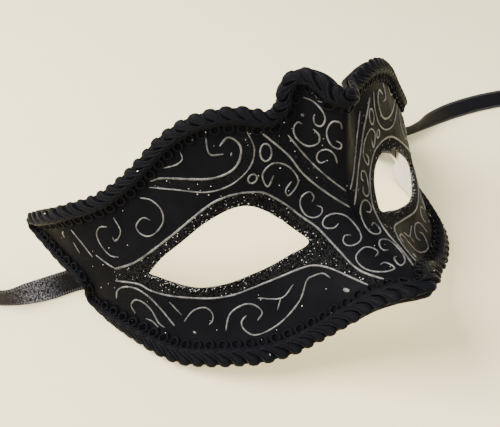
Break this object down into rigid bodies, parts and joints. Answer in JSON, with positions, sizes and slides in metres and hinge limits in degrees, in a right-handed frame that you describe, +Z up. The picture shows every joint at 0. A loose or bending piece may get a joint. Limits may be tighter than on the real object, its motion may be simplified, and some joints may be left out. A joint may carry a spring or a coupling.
{
  "type": "masquerade half mask",
  "caption": "Half-face masquerade mask: moulded shell with eye holes and raised scrolls, gimp braid round the edge, satin tie ribbons.",
  "frame": {"origin": "centre of the mask's footprint on the surface, ribbons left out", "axes": "+Z up from the surface, -Y the way the mask faces, +X to the viewer's right"},
  "size_m": [0.3148, 0.1209, 0.092],
  "materials": {
    "shell": "satin",
    "braid": "woven",
    "ribbon": "satin"
  },
  "bodies": {
    "root": {"mask_shell": "shell", "braid_trim": "braid", "ribbon_left": "ribbon", "ribbon_right": "ribbon"}
  },
  "joints": []
}
